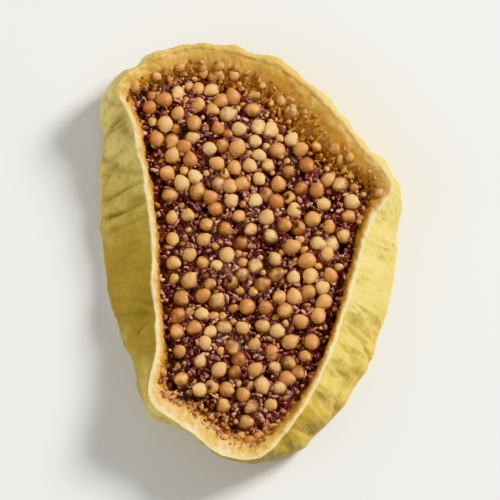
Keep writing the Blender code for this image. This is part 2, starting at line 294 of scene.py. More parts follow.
def inside_by(outline: np.ndarray, points: np.ndarray) -> np.ndarray:
    """Measure how far points in plan lie inside a closed outline.

    Args:
        outline: the outline's points in plan.
        points: the points to measure, one a row.

    Returns:
        The distance to the outline for each point, negative outside it.
    """
    step = np.roll(outline, -1, axis=0) - outline
    away = points[:, None, :] - outline[None, :, :]
    along = np.clip((away * step).sum(axis=2) / (step**2).sum(axis=1), 0.0, 1.0)
    near = away - along[:, :, None] * step
    distance = np.sqrt((near**2).sum(axis=2)).min(axis=1)
    rise = np.where(step[:, 1] == 0, 1e-9, step[:, 1])
    low, high = outline[:, 1], outline[:, 1] + step[:, 1]
    spans = (low > points[:, 1:2]) != (high > points[:, 1:2])
    crossing = outline[:, 0] + step[:, 0] * (points[:, 1:2] - low) / rise
    odd = (spans & (points[:, :1] < crossing)).sum(axis=1) % 2 == 1
    return np.where(odd, distance, -distance)


def smooth_noise(
    points: np.ndarray, size: float | tuple[float, float, float], octaves: int = 1
) -> np.ndarray:
    """Read smooth noise at points.

    Args:
        points: the points, one a row, in millimetres.
        size: the size of one lump in millimetres, or one size for each axis.
        octaves: how many layers, each half the size of the one before.

    Returns:
        Values round zero, mostly from -1 to 1.
    """
    scaled = (points / np.asarray(size)).tolist()
    if octaves == 1:
        return np.array([noise.noise(place) for place in scaled])
    return np.array([noise.fractal(place, 1.0, 2.0, octaves) for place in scaled])


class MeshData(NamedTuple):
    """A mesh before it is made: points in millimetres, faces and one value a point for each attribute."""

    points: np.ndarray
    faces: list[tuple[int, ...]]
    values: dict[str, np.ndarray]
    slots: np.ndarray | None = None


def make_piece(name: str, data: MeshData, materials: list[bpy.types.Material]) -> bpy.types.Object:
    """Make a smooth shaded object that rides on the slice.

    Args:
        name: the piece's name.
        data: its mesh.
        materials: its materials, in the order of their slots.

    Returns:
        The new object.
    """
    mesh = bpy.data.meshes.new(name)
    mesh.from_pydata((data.points * MM).tolist(), [], data.faces)
    for title, values in data.values.items():
        layer = mesh.attributes.new(title, "FLOAT", "POINT")
        layer.data.foreach_set("value", values.astype(np.float32))
    for material in materials:
        mesh.materials.append(material)
    if data.slots is not None:
        mesh.polygons.foreach_set("material_index", data.slots)
    mesh.shade_smooth()
    mesh.update()
    piece = bpy.data.objects.new(name, mesh)
    bpy.context.scene.collection.objects.link(piece)
    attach(piece, BODY)
    log.info("%s: %d points, %d faces", name, len(data.points), len(data.faces))
    return piece


@dataclass(frozen=True)
class RimForm:
    """The form of the slice's rim, with the sizes that the solids were made from."""

    rim_height: float = 6.6
    skin_belly: float = 0.6
    edge_width: float = 0.5
    edge_tilt: float = 0.12
    edge_round: float = 0.35
    back_edge: float = 0.8
    back_flesh: float = 0.9
    back_flesh_share: float = 0.35
    front_crown: float = 0.25
    back_crown: float = 0.1
    front_sink: float = 1.2
    back_sink: float = 1.3
    flesh_drop: float = 0.4
    waist_depth: float = 0.6
    stations: int = 144
    inset_share: int = 18
    wall_reach: int = 3
    wrinkle_depth: float = 0.45
    wrinkle_counts: tuple[int, ...] = (17, 26, 37)
    wrinkle_drift: float = 1.3
    wrinkle_shift: float = 2.1
    edge_wave: float = 0.3
    edge_phase: float = 0.7
    foot_length: float = 3.4
    foot_curl: float = 0.55
    foot_rise: float = 7.0
    feet_at: tuple[float, ...] = (0.17, 0.52, 0.78)


class Rim:
    """The lines round the rim that the ring and the pulp are made from."""

    def __init__(self, form: RimForm) -> None:
        """Work the lines out from the stations.

        Args:
            form: the sizes of the rim.
        """
        self.form = form
        rows = closed_spline(np.array(RIM), form.stations)
        self.around = np.arange(form.stations) / form.stations
        self.front = rows[:, :2]
        self.normal = outward(self.front)
        self.inset = -evened(self.normal, form.stations // form.inset_share)
        self.flare = rows[:, 2:3]
        self.flesh = rows[:, 3:4]
        self.amber, self.pale, self.olive_and_shade = rows[:, 5:6], rows[:, 6:7], rows[:, 7:8]
        self.length = float(np.hypot(*np.diff(self.front, axis=0, append=self.front[:1]).T).sum())
        self.top = form.rim_height + rows[:, 4] + form.edge_wave * self.wrinkle(form.edge_phase)
        self.bottom = self.foot_curl()
        self.back = self.front + self.normal * self.flare
        corners = np.concatenate([self.skin(t) for t in (0.0, 0.14, 0.38, 0.64, 0.88, 1.0)])
        self.middle = (corners.min(axis=0) + corners.max(axis=0)) / 2 * (1, 1, 0)

    def wrinkle(self, phase: float) -> np.ndarray:
        """Return the depth of the drying wrinkles round the ring, from -1 to 1."""
        form = self.form
        total = np.zeros_like(self.around)
        for rank, count in enumerate(form.wrinkle_counts):
            drift = form.wrinkle_drift * np.sin(math.tau * self.around * (2 + rank) + phase)
            shift = form.wrinkle_shift * rank + phase
            total += np.sin(math.tau * self.around * count + drift + shift) * 2 / (2 + rank)
        return total / len(form.wrinkle_counts)

    def foot_curl(self) -> np.ndarray:
        """Return how high the back edge stands off the surface round the ring."""
        form = self.form
        lift = np.ones_like(self.around)
        for foot in form.feet_at:
            away = np.abs((self.around - foot + 0.5) % 1.0 - 0.5) * self.length - form.foot_length / 2
            rise = np.clip(away / form.foot_rise, 0.0, 1.0)
            lift = np.minimum(lift, rise * rise * (3 - 2 * rise))
        return form.foot_curl * lift

    def skin(self, t: float) -> np.ndarray:
        """Return the skin's outer line at t, from 0 at the back edge to 1 at the front edge."""
        form = self.form
        belly = form.skin_belly * 4 * t * (1 - t)
        fold = form.wrinkle_depth * (0.35 + 0.65 * math.sin(math.pi * t)) * self.wrinkle(0.5 * t)
        plan = self.back + (self.front - self.back) * t + self.normal * (belly + fold[:, None])
        low = self.bottom + form.edge_round
        return np.column_stack([plan, low + (self.top - low) * t])

    def front_wall(self) -> np.ndarray:
        """Return the line where the front flesh meets the pulp."""
        form = self.form
        plan = evened(self.front + self.inset * (form.edge_width + self.flesh), form.wall_reach)
        return np.column_stack([plan, evened(self.top, form.wall_reach) - form.front_sink - form.flesh_drop])

    def back_wall(self) -> np.ndarray:
        """Return the line where the back flesh meets the pulp."""
        form = self.form
        width = form.edge_round + form.back_edge + form.back_flesh + form.back_flesh_share * self.flesh
        plan = evened(self.back + self.inset * width, form.wall_reach)
        return np.column_stack([plan, self.bottom + form.back_sink + form.flesh_drop])

    def waist(self) -> np.ndarray:
        """Return the line where the flesh swells inward at mid height."""
        middle = 0.5 * (self.front_wall() + self.back_wall())
        middle[:, :2] += evened(self.inset, self.form.wall_reach) * self.form.waist_depth
        return middle

    def tint_beside(self, points: np.ndarray, wall: np.ndarray) -> np.ndarray:
        """Return how much the flesh colours the pulp beside it.

        Args:
            points: points in plan.
            wall: the line where the flesh meets the pulp.

        Returns:
            For each point, from 0 where the flesh is only a thin line to 1 where it is wide and amber.
        """
        nearest = ((points[:, None, :] - wall[None, ::2, :2]) ** 2).sum(axis=2).argmin(axis=1) * 2
        return (np.clip((self.flesh - 0.4) / 1.6, 0.0, 1.0) * (0.5 + 0.5 * self.amber))[nearest, 0]

    def front_flesh(self, depth: float) -> np.ndarray:
        """Return the front flesh's line at a depth, from 0 at the cut edge to 1 at the pulp."""
        form = self.form
        edge = np.column_stack([self.front - self.normal * form.edge_width, self.top - form.edge_tilt])
        wall = self.front_wall()
        crown = 0.5 * (edge + wall) + (0.0, 0.0, form.front_crown)
        return through(edge, crown, wall, depth)

    def back_flesh(self, depth: float) -> np.ndarray:
        """Return the back flesh's line at a depth, from 0 at the cut edge to 1 at the pulp."""
        form = self.form
        width = form.edge_round + form.back_edge
        edge = np.column_stack([self.back - self.normal * width, self.bottom])
        wall = self.back_wall()
        crown = 0.5 * (edge + wall) - (0.0, 0.0, form.back_crown)
        return through(edge, crown, wall, depth)


def through(first: np.ndarray, middle: np.ndarray, last: np.ndarray, share: float) -> np.ndarray:
    """Return the points at a share of the way along the parabola through three points."""
    start, halfway, end = (1 - share) * (1 - 2 * share), 4 * share * (1 - share), share * (2 * share - 1)
    return first * start + middle * halfway + last * end


class Zone(Enum):
    """What a line of the ring's section lies on."""

    SKIN = "skin"
    FRONT_EDGE = "front edge"
    FRONT_FLESH = "front flesh"
    WALL = "wall"
    BACK_FLESH = "back flesh"
    BACK_EDGE = "back edge"


class SectionLine(NamedTuple):
    """One line round the ring: where it lies, and how far it is across its zone."""

    zone: Zone
    share: float
    line: np.ndarray


@dataclass(frozen=True)
class DriedSkin:
    """Finish of air-dried fig skin: leathery, half matt, yellow-green, painted shade in its fold valleys,
    painted highlight on the ridges.
    """

    gold: str = "#D0AE44"
    light: str = "#E8D37E"
    green: str = "#ABA047"
    olive_and_shade: str = "#7E6317"
    brown: str = "#9A7A22"
    fleck: str = "#6A4C14"
    bloom: str = "#EBDDA4"
    cream: str = "#F2E2AC"
    worn: str = "#D0AF5A"

    def material(self) -> bpy.types.Material:
        """Return the skin's material."""
        paint = Paint("air_dried_fig_skin")
        fold, cut, pale, dark_skin_and_shade = paint.read("fold", "cut", "pale", "olive_and_shade")
        mottle, crinkle = paint.cloud(0.9, 5.0), paint.cloud(0.4, 4.0)
        edge = paint.lay(self.worn, Coat(pale, 0.2, 0.8, self.cream))
        colour = paint.lay(
            self.gold,
            # Lighter skin where the darkness column is low and brown where it is high: partly the skin's own
            # colour, partly painted shade
            Coat(paint.mottled(dark_skin_and_shade, paint.cloud(5.0), 1.0), 0.55, 0.1, self.light),
            Coat(mottle, 0.47, 0.74, self.green, 0.6),
            Coat(paint.mottled(dark_skin_and_shade, paint.cloud(2.5), 0.9), 0.3, 1.0, self.brown, 0.75),
            # Painted shade in the valleys of the folds, and a painted highlight on their ridges
            Coat(paint.mottled(fold, mottle, 0.9), -0.1, -0.9, self.olive_and_shade, 0.75),
            Coat(paint.mottled(fold, mottle, 0.8), 0.45, 1.1, self.light, 0.5),
            Coat(paint.cloud(0.22, 2.0), 0.62, 0.7, self.fleck, 0.5),
            Coat(paint.cloud(1.8, 6.0, 0.75), 0.6, 0.78, self.bloom, 0.4),
            Coat(paint.mottled(cut, paint.cloud(0.6, 5.0), 0.7), 0.15, 0.9, edge),
        )
        glow = (0.12, 0.6, (1.0, 0.75, 0.25))
        # The dried skin keeps a wax bloom, so its gloss is broken and low
        return paint.finish(colour, (mottle, 0.44, 0.64), (crinkle, 0.8, 0.12), glow)


@dataclass(frozen=True)
class CutFlesh:
    """Finish of dried fig flesh: half clear and fibrous, cream to gold at the skin, amber at the pulp."""

    cream: str = "#EDD79C"
    gold: str = "#D3B062"
    straw: str = "#D9AF60"
    honey: str = "#C0872F"
    amber: str = "#94530F"
    deep: str = "#5E2A0A"
    strand: str = "#E3C07A"

    def material(self) -> bpy.types.Material:
        """Return the flesh's material."""
        paint = Paint("dried_fig_flesh")
        depth, ripe_and_shade, fold, pale = paint.read("depth", "ripe_and_shade", "fold", "pale")
        blotch, fine = paint.cloud(1.4, 4.0), paint.cloud(0.45, 5.0, 0.65)
        reach = paint.mottled(paint.mottled(depth, blotch, 0.5), fine, 0.35)
        rim = paint.lay(self.gold, Coat(pale, 0.2, 0.8, self.cream))
        # How dark the flesh has dried sets its honey and amber colours; on the left side that darkness is
        # partly painted shade
        mild = paint.lay(self.straw, Coat(ripe_and_shade, 0.2, 0.9, self.honey))
        rich = paint.lay(self.honey, Coat(ripe_and_shade, 0.1, 0.9, self.amber))
        colour = paint.lay(
            rim,
            Coat(reach, 0.0, 0.24, mild),
            Coat(reach, 0.38, 0.8, rich),
            Coat(reach, 0.8, 1.15, self.deep),
            Coat(fold, 0.1, 0.9, self.strand, 0.22),
        )
        # Dried flesh is like fruit leather: light goes in a millimetre and comes out orange
        return paint.finish(colour, (fine, 0.3, 0.54), (fine, 0.6, 0.1), (0.35, 1.0, (1.2, 0.6, 0.2)))


@dataclass(frozen=True)
class SyrupPulp:
    """Finish of dried fig pulp: sugary, sticky, dark red-brown; painted shade near black in its pits and
    round its seeds, and light brown on its crumbs, partly painted highlight.
    """

    pit_shade: str = "#260A07"
    dark: str = "#4E1D14"
    brown: str = "#7C3D30"
    tan_and_highlight: str = "#B07860"
    amber: str = "#97561B"

    def material(self) -> bpy.types.Material:
        """Return the pulp's material."""
        paint = Paint("sticky_fig_pulp")
        rise, near = paint.read("rise", "near_flesh")
        crumb = paint.cloud(0.5, 5.0, 0.7)
        level = paint.mottled(rise, crumb, 1.6)
        # Painted shade near black where the value is low, in the pits and round the seeds; the light brown on
        # the highest crumbs is partly painted highlight
        colour = paint.lay(
            self.pit_shade,
            Coat(level, -0.6, 0.0, self.dark),
            Coat(level, 0.0, 0.6, self.brown),
            Coat(level, 0.6, 1.2, self.tan_and_highlight),
            Coat(near, 0.3, 1.0, self.amber, 0.8),
        )
        # A film of syrup on the crumbs gives small wet highlights
        paint.shader.inputs["Coat Weight"].default_value = 0.3
        paint.shader.inputs["Coat Roughness"].default_value = 0.18
        return paint.finish(colour, (crumb, 0.26, 0.5), (crumb, 0.8, 0.16), (0.2, 0.5, (1.0, 0.35, 0.15)))


@dataclass(frozen=True)
class SeedShell:
    """Finish of a fig's seeds: smooth hard shells, golden light brown, browner towards their undersides from
    syrup and from painted shade.
    """

    gold: str = "#D6A062"
    light: str = "#EAC588"
    orange: str = "#B87240"
    stain: str = "#6C341C"
    film: str = "#9A5C30"
    hollow: str = "#3A1608"

    def material(self) -> bpy.types.Material:
        """Return the seeds' material."""
        paint = Paint("fig_seed_shell")
        tone, stained, pierced = paint.read("tone", "stain", "pierced")
        cloud = paint.cloud(0.7, 4.0)
        colour = paint.lay(
            self.gold,
            Coat(paint.mottled(tone, cloud, 0.6), 0.5, 1.0, self.light),
            Coat(tone, 0.28, 0.0, self.orange, 0.8),
            # Darker brown towards each seed's underside: partly syrup staining, partly painted shade
            Coat(paint.mottled(stained, cloud, 1.5), 0.28, 0.85, self.stain, 0.92),
            Coat(paint.cloud(0.35, 5.0, 0.7), 0.55, 0.72, self.film, 0.5),
            Coat(pierced, 0.0, 1.0, self.hollow),
        )
        grain = paint.cloud(0.22, 4.0, 0.65)
        return paint.finish(colour, (cloud, 0.34, 0.56), (grain, 0.7, 0.07), (0.3, 0.5, (1.0, 0.5, 0.25)))


@dataclass(frozen=True)
class DriedTissue:
    """Finish of thin dried tissue: the florets between the seeds, or strands of flesh."""

    title: str = "dried_floret_tissue"
    light: str = "#CF9E80"
    middle: str = "#9A605A"
    dark: str = "#542428"
    amber: str = "#A9651F"
    gold: str = "#CE9A4A"

    def material(self) -> bpy.types.Material:
        """Return the tissue's material."""
        paint = Paint(self.title)
        tone, near = paint.read("tone", "near_flesh")
        grain = paint.cloud(0.2, 4.0)
        colour = paint.lay(
            self.middle,
            Coat(tone, 0.5, 0.9, self.light),
            Coat(tone, 0.45, 0.1, self.dark),
            Coat(near, 0.1, 0.8, paint.lay(self.amber, Coat(tone, 0.4, 1.0, self.gold)), 0.92),
        )
        return paint.finish(colour, (grain, 0.3, 0.52), (grain, 0.5, 0.05), (0.3, 0.4, (1.0, 0.45, 0.3)))


@dataclass
class PeelRing:
    """The ring of dried skin and flesh: fine wrinkles outside, fibres on the flesh inside."""

    rim: Rim
    columns: int = 936
    skin_rows: int = 46
    edge_rows: int = 6
    flesh_rows: int = 24
    wall_rows: int = 3
    back_rows: int = 12
    back_edge_rows: int = 7
    fold_size: float = 2.2
    fold_depth: float = 0.34
    crease_size: float = 0.8
    crease_depth: float = 0.09
    fibre_size: float = 0.55
    fibre_depth: float = 0.09
    flesh_lump: float = 0.16
    rim_wear: float = 0.13
    crest_reach: float = 0.3

    def section(self) -> list[SectionLine]:
        """Return the lines of the ring's closed section, up the skin, over the edge and down inside."""
        rim, form = self.rim, self.rim.form
        lines = []
        for step in range(self.skin_rows):
            share = step / self.skin_rows
            lines.append(SectionLine(Zone.SKIN, share, rim.skin(share)))
        outer, inner = rim.skin(1.0), rim.front_flesh(0.0)
        for step in range(self.edge_rows):
            share = step / self.edge_rows
            line = outer + (inner - outer) * share
            line[:, 2] += 0.07 * math.sin(math.pi * share)
            lines.append(SectionLine(Zone.FRONT_EDGE, share, line))
        for step in range(self.flesh_rows + 1):
            share = step / self.flesh_rows
            lines.append(SectionLine(Zone.FRONT_FLESH, share, rim.front_flesh(share)))
        for step in range(1, self.wall_rows + 1):
            share = step / (self.wall_rows + 1)
            line = through(rim.front_wall(), rim.waist(), rim.back_wall(), share)
            lines.append(SectionLine(Zone.WALL, share, line))
        for step in range(self.back_rows):
            share = 1 - step / self.back_rows
            lines.append(SectionLine(Zone.BACK_FLESH, share, rim.back_flesh(share)))
        low, start = rim.back_flesh(0.0), rim.skin(0.0)
        corner = np.column_stack([rim.back - rim.normal * form.edge_round, rim.bottom])
        half = self.back_edge_rows // 2
        for step in range(half):
            lines.append(SectionLine(Zone.BACK_EDGE, step / half, low + (corner - low) * step / half))
        for step in range(half):
            turn = math.pi / 2 * step / half
            plan = corner[:, :2] + (start - corner)[:, :2] * math.sin(turn)
            height = corner[:, 2] + (start - corner)[:, 2] * (1 - math.cos(turn))
            lines.append(SectionLine(Zone.BACK_EDGE, 1.0, np.column_stack([plan, height])))
        return lines

    def relief(self, section: list[SectionLine], grid: np.ndarray) -> tuple[np.ndarray, np.ndarray]:
        """Work out how far each point moves out of the surface, and how high it stands for its colour.

        Args:
            section: the lines of the ring's section.
            grid: their points, as rows round the ring by columns along it.

        Returns:
            The outward move in millimetres, and the height from -1 to 1, for each point of the grid.
        """
        rim = self.rim
        places = np.arange(self.columns) / self.columns * rim.form.stations
        crest = spline_at(rim.front, places)
        width = spline_at(rim.flesh, places)[:, 0]
        move = np.zeros(grid.shape[:2])
        fold = np.zeros(grid.shape[:2])
        lifted = [np.column_stack([crest, np.full(self.columns, lift)]) for lift in (0.0, 50.0, 9.0)]
        sway = np.stack([smooth_noise(line, 4.5) for line in lifted[:2]], axis=1)
        bunch = np.clip(0.7 + 1.5 * smooth_noise(lifted[2], 6.0), 0.25, 1.4)
        for row, (zone, share, _) in enumerate(section):
            slanted = crest + sway * 2.2 * (share - 0.5)
            if zone is Zone.SKIN:
                window = 0.35 + 0.65 * math.sin(math.pi * share) ** 0.7
                across = np.column_stack([slanted, np.full(self.columns, 4.0 * share)])
                big = 2.6 * np.abs(smooth_noise(across, (self.fold_size, self.fold_size, 3.6))) - 0.9
                drift = across + (0.0, 0.0, 17.0)
                small = 1 - 2.4 * np.abs(smooth_noise(drift, (self.crease_size, self.crease_size, 1.6)))
                grain = smooth_noise(grid[row], 0.5, 3)
                # On the skin this height drives colour: painted shade in the fold valleys and a painted
                # highlight on the ridges
                fold[row] = (0.75 * big * bunch + 0.3 * small) * window
                depth = self.fold_depth * big * bunch + self.crease_depth * small
                move[row] = depth * window + 0.035 * grain
            elif zone is Zone.FRONT_EDGE:
                move[row] = self.rim_wear * smooth_noise(grid[row], 0.8, 3)
            elif zone in (Zone.FRONT_FLESH, Zone.BACK_FLESH):
                along = np.column_stack([slanted, np.full(self.columns, 1.3 * share) * width])
                fibre = 1 - 2.6 * np.abs(smooth_noise(along, (self.fibre_size, self.fibre_size, 1.8)))
                broad = smooth_noise(grid[row], 1.2, 2)
                rise = min(share * 1.8, 1.0) if zone is Zone.FRONT_FLESH else min(share * 1.6, 1.0) * 0.8
                fold[row] = fibre * rise
                move[row] = (self.fibre_depth * fibre + self.flesh_lump * broad) * rise
                if zone is Zone.FRONT_FLESH:
                    move[row] += self.rim_wear * smooth_noise(grid[row], 0.8, 3) * (1 - rise)
        return move, fold

    def mesh(self) -> MeshData:
        """Return the ring's closed mesh with its relief."""
        section = self.section()
        places = np.arange(self.columns) / self.columns * self.rim.form.stations
        grid = np.stack([spline_at(entry.line, places) for entry in section])
        move, fold = self.relief(section, grid)
        around = np.roll(grid, -1, axis=1) - np.roll(grid, 1, axis=1)
        across = np.roll(grid, -1, axis=0) - np.roll(grid, 1, axis=0)
        normal = np.cross(around, across)
        normal /= np.linalg.norm(normal, axis=2, keepdims=True)
        grid = grid + normal * move[:, :, None]
        grid[:, :, 2] = np.maximum(grid[:, :, 2], 0.0)
        rows, columns = grid.shape[:2]
        first = np.arange(rows)[:, None] * columns
        above = (np.arange(rows)[:, None] + 1) % rows * columns
        here = np.arange(columns)[None, :]
        beside = (here + 1) % columns
        corners = np.stack([first + here, first + beside, above + beside, above + here], axis=2)
        fleshy = np.array([entry.zone not in (Zone.SKIN, Zone.BACK_EDGE) for entry in section])
        fleshy &= np.array([entry.zone is not Zone.FRONT_EDGE or entry.share > 0.3 for entry in section])
        cut = np.array([self.cut_share(entry) for entry in section])
        depth = np.array([self.depth_share(entry) for entry in section])
        width = spline_at(self.rim.flesh, places)[:, 0]
        hues = {"ripe_and_shade": self.rim.amber, "pale": self.rim.pale, "olive_and_shade": self.rim.olive_and_shade}
        tints = {title: spline_at(column, places)[:, 0].clip(0.0, 1.0) for title, column in hues.items()}
        level = np.ones(columns)
        return MeshData(
            points=grid.reshape(-1, 3) - self.rim.middle,
            faces=corners.reshape(-1, 4).tolist(),
            values={
                "fold": fold.ravel(),
                "cut": np.outer(cut, level).ravel(),
                "depth": (depth[:, None] ** (1 + self.crest_reach * np.clip(width - 0.3, 0.0, None))).ravel(),
                **{title: np.tile(tint, rows) for title, tint in tints.items()},
            },
            slots=np.repeat(fleshy.astype(np.int32), columns),
        )

    @staticmethod
    def cut_share(entry: SectionLine) -> float:
        """Return how pale a line of the skin is, from 0 on the skin to 1 on its cut edges."""
        if entry.zone is Zone.SKIN:
            return max(0.0, (entry.share - 0.96) / 0.04) ** 2 * 0.9 + max(0.0, 0.05 - entry.share) * 12
        return 1.0

    @staticmethod
    def depth_share(entry: SectionLine) -> float:
        """Return how deep in the flesh a line is, from 0 at the cut edge to 1 at the pulp."""
        if entry.zone in (Zone.FRONT_FLESH, Zone.BACK_FLESH):
            return 0.24 + 0.76 * entry.share
        return 1.0 if entry.zone is Zone.WALL else max(0.0, 0.34 * entry.share - 0.1)

    def build(self) -> bpy.types.Object:
        """Build the ring and put it in the place of its solid."""
        ring = make_piece("peel_ring", self.mesh(), [DriedSkin().material(), CutFlesh().material()])
        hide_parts("peel")
        return ring


@dataclass(frozen=True)
class SeedSpot:
    """One seed: its centre, its length, how it is turned and what its shell looks like."""

    centre: tuple[float, float, float]
    length: float
    turn: tuple[float, float, float]
    tone: float
    soil: float
    pierced: bool

    def radius(self) -> float:
        """Return about half the seed's width."""
        return SEED_HALF_WIDTH * self.length


@dataclass(frozen=True)
class PulpForm:
    """The form of the pulp and the rule that places its seeds, as the solids have them."""

    gap: float = 0.38
    stations: int = 72
    swell: float = 0.35
    swell_wide: float = 15.0
    swell_long: float = 20.0
    swell_short: float = 8.5
    shoulder: float = 3.0
    seed_length: tuple[float, float] = (1.65, 2.1)
    front_raised: tuple[float, float] = (0.0, 0.32)
    back_raised: tuple[float, float] = (-0.14, 0.0)
    root_share: float = 0.25
    margin: float = 0.8
    tries: int = 24
    front_seeds: int = 150
    back_seeds: int = 84
    seed_random: int = 5


class CutFace:
    """One cut face of the pulp, and where its seeds stand."""

    def __init__(
        self, outline: np.ndarray, root_outline: np.ndarray, level: float, unevenness: float, form: PulpForm
    ) -> None:
        """Keep the face's outline and level.

        Args:
            outline: the line where the face meets the pulp's wall.
            root_outline: the wall in plan at the depth of a seed's root.
            level: the face's mean height.
            unevenness: how far it swells above and below its level.
            form: the sizes of the pulp.
        """
        self.outline = outline
        self.root_outline = root_outline
        self.level = level
        self.unevenness = unevenness
        self.form = form

    def room(self, points: np.ndarray) -> np.ndarray:
        """Return how far points lie from the wall, at the surface and at the depth of a seed's root."""
        return np.minimum(inside_by(self.outline[:, :2], points), inside_by(self.root_outline, points))

    def solid_height(self, x: float, y: float) -> float:
        """Return the height of the face under a point, as the solids have it."""
        distances = np.hypot(*(self.outline[:, :2] - (x, y)).T)
        edge = float(self.outline[distances.argmin(), 2])
        deep = max(float(inside_by(self.outline[:, :2], np.array([[x, y]]))[0]), 0.0)
        return edge + (self.open_height(x, y) - edge) * min(deep / self.form.shoulder, 1.0)

    def open_height(self, x: float, y: float) -> float:
        """Return the height of the face away from its outline."""
        form = self.form
        wide = math.sin(math.tau * x / form.swell_wide) * math.cos(math.tau * y / form.swell_long)
        short = math.sin(math.tau * (y + x / 2) / form.swell_short)
        return self.level + self.unevenness * (wide + short) / 2

    def heights(self, points: np.ndarray) -> np.ndarray:
        """Return the face's height under points in plan, smooth right up to its outline."""
        form = self.form
        away = ((points[:, None, :] - self.outline[None, :, :2]) ** 2).sum(axis=2)
        weight = np.exp(-(away - away.min(axis=1, keepdims=True)) / 2.0)
        edge = (weight * self.outline[:, 2]).sum(axis=1) / weight.sum(axis=1)
        x, y = points.T
        wide = np.sin(math.tau * x / form.swell_wide) * np.cos(math.tau * y / form.swell_long)
        short = np.sin(math.tau * (y + x / 2) / form.swell_short)
        level = self.level + self.unevenness * (wide + short) / 2
        blend = np.clip(inside_by(self.outline[:, :2], points) / form.shoulder, 0.0, 1.0)
        return edge + (level - edge) * blend

    def places(self, wanted: int, draw: random.Random) -> list[tuple[float, float]]:
        """Scatter places over the face, each the one of a few tries that is furthest from the rest.

        Args:
            wanted: how many places to return.
            draw: the source of chance.

        Returns:
            The places in plan.
        """
        low, high = self.outline[:, :2].min(axis=0), self.outline[:, :2].max(axis=0)
        places: list[tuple[float, float]] = []
        while len(places) < wanted:
            tries: list[tuple[float, float]] = []
            while len(tries) < self.form.tries:
                spot = draw.uniform(low[0], high[0]), draw.uniform(low[1], high[1])
                if self.room(np.array([spot]))[0] > self.form.margin:
                    tries.append(spot)
            taken = places or [tries[0]]
            places.append(max(tries, key=lambda spot: min(math.dist(spot, other) for other in taken)))
        return places


class PulpPlan:
    """The pulp's two cut faces and the seeds that the solids have on them."""

    def __init__(self, rim: Rim, form: PulpForm) -> None:
        """Work the faces out from the rim and scatter the seeds.

        Args:
            rim: the lines of the rim.
            form: the sizes of the pulp.
        """
        self.form = form
        walls = [rim.front_wall(), rim.waist(), rim.back_wall()]
        run = np.hypot(*(walls[2] - walls[0])[:, :2].T)
        slant = np.hypot(1.0, run / (walls[0] - walls[2])[:, 2])[:, None]
        for line in walls:
            line[:, :2] -= outward(line[:, :2]) * form.gap * slant
        front, self.waist, back = (line[:: rim.form.stations // form.stations] for line in walls)
        root = (back - front)[:, :2] * form.root_share
        level = rim.form.rim_height - rim.form.front_sink
        self.faces = {
            Side.FRONT: CutFace(front, front[:, :2] + root, level, form.swell, form),
            Side.BACK: CutFace(back, back[:, :2] - root, rim.form.back_sink, form.swell / 2, form),
        }
        draw = random.Random(form.seed_random)
        looks = random.Random(form.seed_random + 1)
        self.seeds = {
            Side.FRONT: self.scatter(Side.FRONT, form.front_seeds, form.front_raised, draw, looks),
            Side.BACK: self.scatter(Side.BACK, form.back_seeds, form.back_raised, draw, looks),
        }

    def scatter(
        self, side: Side, wanted: int, raised: tuple[float, float], draw: random.Random, looks: random.Random
    ) -> list[SeedSpot]:
        """Place and turn the seeds of one face in the order in which the solids' rule draws them.

        Args:
            side: the face.
            wanted: how many seeds.
            raised: the lowest and highest place of a centre above the face.
            draw: the source of chance for their places.
            looks: the source of chance for their shells.

        Returns:
            The seeds.
        """
        face = self.faces[side]
        spots = []
        for x, y in face.places(wanted, draw):
            centre = (x, y, face.solid_height(x, y) + draw.uniform(*raised))
            length = draw.uniform(*self.form.seed_length)
            turn = (draw.uniform(0.5, 1.4), draw.uniform(-0.5, 0.5), draw.uniform(0.0, math.tau))
            soil = 0.12 + 0.6 * looks.random() ** 2
            spots.append(SeedSpot(centre, length, turn, looks.random(), soil, looks.random() < 0.02))
        return spots


class Heap:
    """Many small closed shapes gathered into one mesh."""

    def __init__(self) -> None:
        """Start with nothing."""
        self.points: list[np.ndarray] = []
        self.faces: list[tuple[int, ...]] = []
        self.values: dict[str, list[np.ndarray]] = {}
        self.count = 0

    def add(self, points: np.ndarray, faces: list[tuple[int, ...]], **values: np.ndarray | float) -> None:
        """Add one shape.

        Args:
            points: its points in millimetres.
            faces: its faces.
            values: for each attribute, one value, or one a point.
        """
        self.faces.extend(tuple(corner + self.count for corner in face) for face in faces)
        for title, value in values.items():
            self.values.setdefault(title, []).append(np.broadcast_to(value, len(points)))
        self.points.append(points)
        self.count += len(points)

    def data(self, middle: np.ndarray) -> MeshData:
        """Return the gathered mesh, moved so that the slice's middle is over the origin."""
        values = {title: np.concatenate(parts) for title, parts in self.values.items()}
        return MeshData(np.concatenate(self.points) - middle, self.faces, values)


def ball(sides: int, rings: int) -> tuple[np.ndarray, list[tuple[int, ...]]]:
    """Return a sphere of diameter one: its points from the lower pole up, and its faces."""
    points = [(0.0, 0.0, -0.5)]
    for ring in range(1, rings):
        tilt = math.pi * ring / rings
        for side in range(sides):
            turn = math.tau * side / sides
            width = 0.5 * math.sin(tilt)
            points.append((width * math.cos(turn), width * math.sin(turn), -0.5 * math.cos(tilt)))
    points.append((0.0, 0.0, 0.5))
    last = len(points) - 1
    faces: list[tuple[int, ...]] = []
    for side in range(sides):
        beside = (side + 1) % sides
        faces.append((0, 1 + beside, 1 + side))
        faces.append((last, last - sides + side, last - sides + beside))
        for ring in range(rings - 2):
            low, high = 1 + ring * sides, 1 + (ring + 1) * sides
            faces.append((low + side, low + beside, high + beside, high + side))
    return np.array(points), faces


def turned(
    points: np.ndarray, turn: tuple[float, float, float], centre: tuple[float, float, float]
) -> np.ndarray:
    """Return points turned by Euler angles and moved to a centre."""
    return points @ np.array(Euler(turn).to_matrix()).T + np.array(centre)


